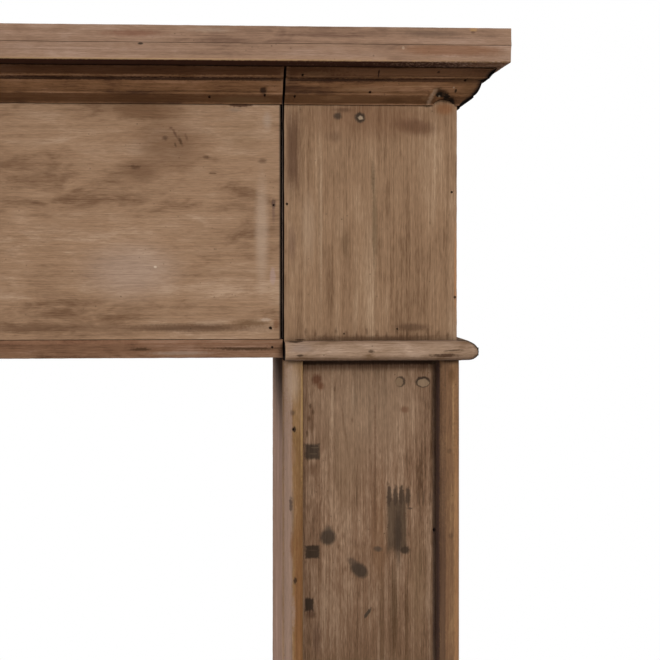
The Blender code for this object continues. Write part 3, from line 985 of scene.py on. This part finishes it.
        mark(12, 150, 5, 16, "37271d", 0.8, 0.6),
        mark(13, 500, 6, 40, "5e4633", 0.6, 0.8),
    ],
    "right_outer_stile": [
        # Painted shade on the left half and the left cheek, which face the panel, and painted light on the
        # right half
        mark(4, 420, 9, 1000, "553d2f", 0.8, 0.8, square=True),
        mark(-0.5, 420, 3, 2000, "4a3a3a", 0.75, 0.6, square=True, deep=60),
        mark(22.5, 420, 10, 1000, "a0754f", 0.7, 0.7, square=True),
        mark(17, 60, 3, 160, "b08a60", 0.5, 0.9),
        mark(10, 330, 5, 260, "6f4f38", 0.5, 0.9),
        mark(12, 116, 8, 9, "432f21", 0.4, 0.8),
        mark(14, 224, 8, 10, "402d20", 0.4, 0.8),
        mark(15, 20, 12, 26, "54381f", 0.6, 0.9),
    ],
    # Painted shade at the top of each reveal, under the header, fading downwards
    "right_leg_inner_side": [mark(0, 358, 16, 235, "301b0a", 0.92, 1.0, deep=340)],
    "left_leg_inner_side": [mark(20, 358, 16, 235, "301b0a", 0.92, 1.0, deep=340)],
    "left_outer_stile": [
        # Painted shade on the right half, which faces the panel, and painted light on the left half
        mark(19, 420, 13, 1000, "4f382b", 0.8, 0.5, square=True),
        mark(4, 420, 9, 1000, "9a7050", 0.6, 0.5, square=True),
        mark(11, 300, 8, 10, "432f21", 0.7),
    ],
    "right_crown_front": CROWN_STAIN_AND_SHADE_BANDS
    + [
        mark(150, 5.3, 200, 10, "65452e", 0.8, 0.6, square=True),
        mark(190, 13.4, 140, 4, "4c2f1c", 0.75, 0.9, square=True),
        mark(185, 9.5, 150, 1.6, "33200f", 0.6, 0.9),
        mark(165, 20, 60, 1.8, "8a6a4c", 0.5, 0.9),
        mark(225, 13, 60, 12, "553a24", 0.7, 0.9),
        mark(90, 34.5, 190, 10, "64452c", 0.75, 0.8, square=True),
        mark(40, 8, 60, 8, "6d4f36", 0.4, 0.9),
        mark(100, 24, 90, 7, "7a5b40", 0.5, 0.9),
        mark(232, 24, 26, 22, "5c4029", 0.6, 0.8),
        mark(197, 26, 26, 12, "3a2616", 0.85, 0.9, tilt=20),
        mark(195.5, 28.5, 13, 7, "140d06", 0.95, 0.6),
        mark(205.5, 30.5, 13, 7, "140d06", 0.95, 0.6, tilt=30),
        mark(213.5, 35.5, 15, 7, "140d06", 0.95, 0.6, tilt=42),
        mark(196, 30, 3, 3, "7b6a58", 0.8, 0.6),
        mark(202, 33.5, 14, 2.6, "5c3a24", 0.8, 0.8),
        mark(214.5, 24.5, 3, 6, "1a1208", 0.9, 0.5),
        mark(211.5, 21, 2.6, 2.6, "8a7460", 0.8, 0.5),
        mark(60, 33, 34, 6, "7b5a3e", 0.5, 0.9),
        mark(140, 35, 40, 7, "4a2f1a", 0.6, 0.9),
        mark(178, 33, 16, 5, "7b5a3e", 0.45, 0.9),
        mark(115, 7, 2.4, 10, "25150c", 0.9, 0.5),
    ]
    + RIM_MARKS,
    "left_crown_front": CROWN_STAIN_AND_SHADE_BANDS
    + [mark(150, 24, 80, 7, "76573b", 0.5, 0.9), mark(60, 30, 12, 8, "2a1a10", 0.8, 0.6)],
    "right_crown_return": CROWN_STAIN_AND_SHADE_BANDS,
    "left_crown_return": CROWN_STAIN_AND_SHADE_BANDS,
    "header_crown": CROWN_STAIN_AND_SHADE_BANDS
    + [
        mark(1035, 26, 11, 9, "25150c", 0.9, 0.7),
        mark(1010, 36, 90, 10, "634a31", 0.5, 0.9),
        mark(420, 25, 120, 8, "76573b", 0.5, 0.9),
        mark(700, 33, 14, 8, "2a1a10", 0.8, 0.6),
    ],
    "right_collar_front": COLLAR_SHADE_BANDS
    + [
        mark(20, 8, 40, 14, "8d786b", 0.6, 0.9),
        mark(108, 12, 10, 5, "4b3727", 0.85, 0.7),
        mark(19, 17, 10, 4, "423022", 0.85, 0.7),
        mark(200, 17.6, 46, 6, "452e20", 0.85, 0.8),
        mark(213, 11, 36, 2.2, "423022", 0.75, 0.7, tilt=-4),
        mark(13, 0.5, 26, 3, "34200f", 0.85, 0.6),
    ],
    "left_collar_front": COLLAR_SHADE_BANDS,
    "right_collar_return": COLLAR_SHADE_BANDS,
    "left_collar_return": COLLAR_SHADE_BANDS,
}

# Nail holes: right, down, width and depth. Those of the right half and the header show in the photograph.
HOLES = {
    "right_frieze_block": [
        (4.5, 165.5, 2.6, 4),
        (215, 150, 2.6, 3),
        (219, 284, 2.8, 3),
        (145, 324, 2, 3),
        (77, 330, 1.8, 3),
    ],
    "left_frieze_block": [(216, 170, 2.6, 4), (6, 140, 2.6, 3), (70, 328, 2, 3)],
    "header_frieze_board": [(1043, 322.5, 3.6, 5), (1047, 167, 2.6, 4), (8, 320, 3, 4), (10, 150, 2.6, 4)],
    "header_soffit_board": [(1048.5, 10, 2.6, 4), (16, 10, 2.6, 4), (500, 11, 2.4, 4)],
    "right_leg_panel": [(178, 254, 3, 4)],
    "left_leg_panel": [(160, 300, 3, 4)],
    "right_inner_stile": [(12.5, 87, 2.8, 4)],
    "left_inner_stile": [(13, 120, 2.8, 4)],
    "right_crown_front": [
        (21, 9, 2.6, 4),
        (13, 32, 2.4, 4),
        (107, 27, 2.6, 4),
        (225, 12.5, 3.2, 4),
        (189, 5.5, 3, 3),
    ],
    "left_crown_front": [(236, 9, 2.6, 4), (120, 26, 2.6, 4)],
    "header_crown": [(968, 33, 2.6, 4), (1037, 31, 2.6, 4), (500, 32, 2.6, 4), (24, 30, 2.6, 4)],
}


# Boards in their woods


def dress(obj, node, slot, material):
    """Puts a piece in its solid's place, with its wood."""
    obj.data.materials.clear()
    obj.data.materials.append(material)
    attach(obj, "root")
    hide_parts(node)
    return obj


def seam_below(side):
    """The top board of the shelf: a tight seam below, rounder elsewhere."""
    return 0.2 if side.z < 0 else 0.9


def seam_above(side):
    """The lower board of the shelf: a tight seam above, rounder elsewhere."""
    return 0.2 if side.z > 0 else 1.8


def tight_foot(side):
    """The header: a tight seam at its foot and crisp ends, rounder elsewhere."""
    if side.z < 0:
        return 0.3
    return 0.6 if side.x else EASE


def rounded_front(side):
    """The strip under the header: its lower front arris is rubbed round, the upper one a little."""
    if side.y < 0 and side.z:
        return 3.0 if side.z < 0 else 0.7
    return 0.8


def rounded_uprights(side):
    """The outer stile: its two front arrises are planed round."""
    return 6.0 if side.y < 0 and side.x else 0.8


SHELF_TONES = ("a18573", "8e705b", "6f5444")
HEADER_TONES = ("ab8e75", "94755b", "6d503a")
STRIP_TONES = ("8f6f5b", "775640", "543928")
BLOCK_TONES = ("a78b70", "8c6e54", "6a4e38")
PANEL_TONES = ("9a7e66", "7c5f49", "5a412e")
STILE_TONES = ("93714f", "77583f", "4f3829")
SIDE_TONES = ("95796a", "7f6353", "604938")
CROWN_TONES = ("836047", "6b4a30", "442b1b")
CROWN_RUB = "85634a"
COLLAR_RUB = BOARD_RUB
COLLAR_TONES = ("bba08b", "9a7f69", "73583f")
INNER_TONES = ("9a7a5b", "81613f", "5f4329")

LEFT = Vector((-1, 0, 0))
RIGHT = Vector((1, 0, 0))
TONGUE = LEG_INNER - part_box("header_frieze_board")[1].x - HAIR

BOARDS = [
    ("shelf_top_board", "shelf_pine", "x", SHELF_TONES, SHELF_FIGURE, seam_below, ()),
    ("shelf_lower_board", "shelf_pine", "x", SHELF_TONES, SHELF_FIGURE, seam_above, ()),
    ("header_frieze_board", "header_pine", "x", HEADER_TONES, HEADER_FIGURE, tight_foot, (LEFT, RIGHT)),
    ("header_soffit_board", "header_pine", "x", STRIP_TONES, SHELF_FIGURE, rounded_front, ()),
]
for side_name, inner in (("left", RIGHT), ("right", LEFT)):
    BOARDS += [
        (side_name + "_frieze_block", "block_pine", "z", BLOCK_TONES, BLOCK_FIGURE, same_all_round, (inner,)),
        (side_name + "_leg_panel", "panel_pine", "z", PANEL_TONES, PANEL_FIGURE, same_all_round, ()),
        (side_name + "_outer_stile", "stile_pine", "z", STILE_TONES, UPRIGHT_FIGURE, rounded_uprights, ()),
        (side_name + "_plinth_board", "panel_pine", "x", PANEL_TONES, SHELF_FIGURE, same_all_round, ()),
        (side_name + "_leg_inner_side", "side_pine", "z", SIDE_TONES, UPRIGHT_FIGURE, same_all_round, ()),
        (side_name + "_leg_outer_side", "side_pine", "z", SIDE_TONES, UPRIGHT_FIGURE, same_all_round, ()),
    ]

for number, (node, slot, grain, tones, figure, ease, black) in enumerate(BOARDS):
    wood = old_pine(node, grain, tones, figure, MARKS.get(node, ()), seed=1.7 * number)
    tongue = TONGUE if node == "header_frieze_board" else 0.0
    piece = worn_board(node, ease, holes=HOLES.get(node, ()), black=black, tongue=tongue)
    dress(piece, node, slot, wood)

crown = crown_outline(CROWN_TOP - CROWN_FOOT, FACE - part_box("right_crown_front")[0].y - HAIR)
low_crown = crown_outline(CROWN_TOP - RETURN_FOOT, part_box("right_crown_return")[1].x - LEG_OUTER - HAIR)
collar = collar_outline(COLLAR_HIGH.z - COLLAR_LOW.z, FACE - COLLAR_LOW.y)
MOULDINGS = [("header_crown", "crown_pine", CROWN_TONES, CROWN_RUB, crown, 0)]
for side_name, side in (("left", -1), ("right", 1)):
    MOULDINGS += [
        (side_name + "_crown_front", "crown_pine", CROWN_TONES, CROWN_RUB, crown, side),
        (side_name + "_crown_return", "crown_pine", CROWN_TONES, CROWN_RUB, low_crown, side),
        (side_name + "_collar_front", "collar_pine", COLLAR_TONES, COLLAR_RUB, collar, side),
        (side_name + "_collar_return", "collar_pine", COLLAR_TONES, COLLAR_RUB, collar, side),
    ]
for number, (node, slot, tones, rub, outline, side) in enumerate(MOULDINGS):
    is_return = node.endswith("return")
    if is_return:
        piece = return_moulding(node, outline, side)
    else:
        piece = front_moulding(node, outline, side, HOLES.get(node, ()))
    grain = "y" if is_return else "x"
    marks = MARKS.get(node, ())
    seed = 50 + 1.3 * number
    wood = old_pine(node, grain, tones, CROWN_FIGURE, marks, MOULDING_MARKS, MOULDING_DIRT_AND_SHADE, rub, seed)
    dress(piece, node, slot, wood)

for side_name in ("left", "right"):
    node = side_name + "_inner_stile"
    marks = MARKS.get(node, ())
    wood = old_pine(node, "z", INNER_TONES, UPRIGHT_FIGURE, marks, MOULDING_MARKS, seed=80 + len(side_name))
    dress(round_stile(node, HOLES.get(node, ())), node, "stile_pine", wood)


# Camera, lights and floor

EYE_FROM_FACE = 1.010
EYE_FROM_LEG = 0.0852
EYE_BELOW_TOP = 0.2766
VIEW_YAW = math.radians(2.0)
FRAME_PIXELS = 660
FOCAL_PIXELS = 800
AIM_PIXEL = (244, 258)
SENSOR_MM = 36.0

scene = bpy.context.scene
scene.view_settings.view_transform = "Standard"
camera = bpy.data.objects.new("camera", bpy.data.cameras.new("camera"))
camera.data.sensor_width = SENSOR_MM
camera.data.lens = FOCAL_PIXELS / FRAME_PIXELS * SENSOR_MM
camera.data.shift_x = 0.5 - AIM_PIXEL[0] / FRAME_PIXELS
camera.data.shift_y = AIM_PIXEL[1] / FRAME_PIXELS - 0.5
camera.location = (LEG_INNER - EYE_FROM_LEG, FACE - EYE_FROM_FACE, SHELF_TOP - EYE_BELOW_TOP)
camera.rotation_euler = (math.pi / 2, 0, -VIEW_YAW)
scene.collection.objects.link(camera)
scene.camera = camera


def softbox(name, turn, lift, distance, size, power):
    """A square studio light aimed at the frieze, turned to the right and lifted, in degrees."""
    aim = Vector((0.35, FACE, 1.0))
    turn, lift = math.radians(turn), math.radians(lift)
    way = Vector((math.sin(turn) * math.cos(lift), -math.cos(turn) * math.cos(lift), math.sin(lift)))
    light = bpy.data.objects.new(name, bpy.data.lights.new(name, "AREA"))
    light.data.size = size
    light.data.energy = power
    light.location = aim + way * distance
    light.rotation_euler = way.to_track_quat("Z", "Y").to_euler()
    scene.collection.objects.link(light)


softbox("key", turn=20, lift=20, distance=3.2, size=1.1, power=64)
softbox("fill", turn=-52, lift=34, distance=3.2, size=1.6, power=24)
softbox("back", turn=-140, lift=30, distance=2.6, size=2.4, power=110)

world = bpy.data.worlds.new("pale studio")
scene.world = world
world.use_nodes = True
sky = world.node_tree.nodes["Background"]
sky.inputs["Color"].default_value = (1, 1, 1, 1)
way = add(world.node_tree, "ShaderNodeTexCoord").outputs["Generated"]
height = add(world.node_tree, "ShaderNodeSeparateXYZ", {0: way}).outputs["Z"]
upper = {"Value": height, "From Min": -0.1, "From Max": 0.5, "To Min": 0.02, "To Max": 0.25}
upper = add(world.node_tree, "ShaderNodeMapRange", upper, interpolation_type="SMOOTHSTEP")
seen = add(world.node_tree, "ShaderNodeLightPath").outputs["Is Camera Ray"]
strength = add(world.node_tree, "ShaderNodeMix", {0: seen, 2: upper, 3: 1.0})
world.node_tree.links.new(strength.outputs[0], sky.inputs["Strength"])

FLOOR_FRONT, FLOOR_BACK = -2.4, 0.95
bpy.ops.object.select_all(action="DESELECT")
bpy.ops.mesh.primitive_plane_add(size=1, location=(0, (FLOOR_FRONT + FLOOR_BACK) / 2, 0))
floor = bpy.context.active_object
floor.name = "floor"
floor.dimensions = (4.2, FLOOR_BACK - FLOOR_FRONT, 0)
bpy.ops.object.transform_apply(location=True, rotation=True, scale=True)

# Matt studio paper, rolled smooth: an even pale tone with no sheen
paper = bpy.data.materials.new("pale paper floor")
paper.use_nodes = True
matt = paper.node_tree.nodes["Principled BSDF"]
matt.inputs["Base Color"].default_value = (0.85, 0.85, 0.84, 1)
matt.inputs["Roughness"].default_value = 0.9
floor.data.materials.append(paper)
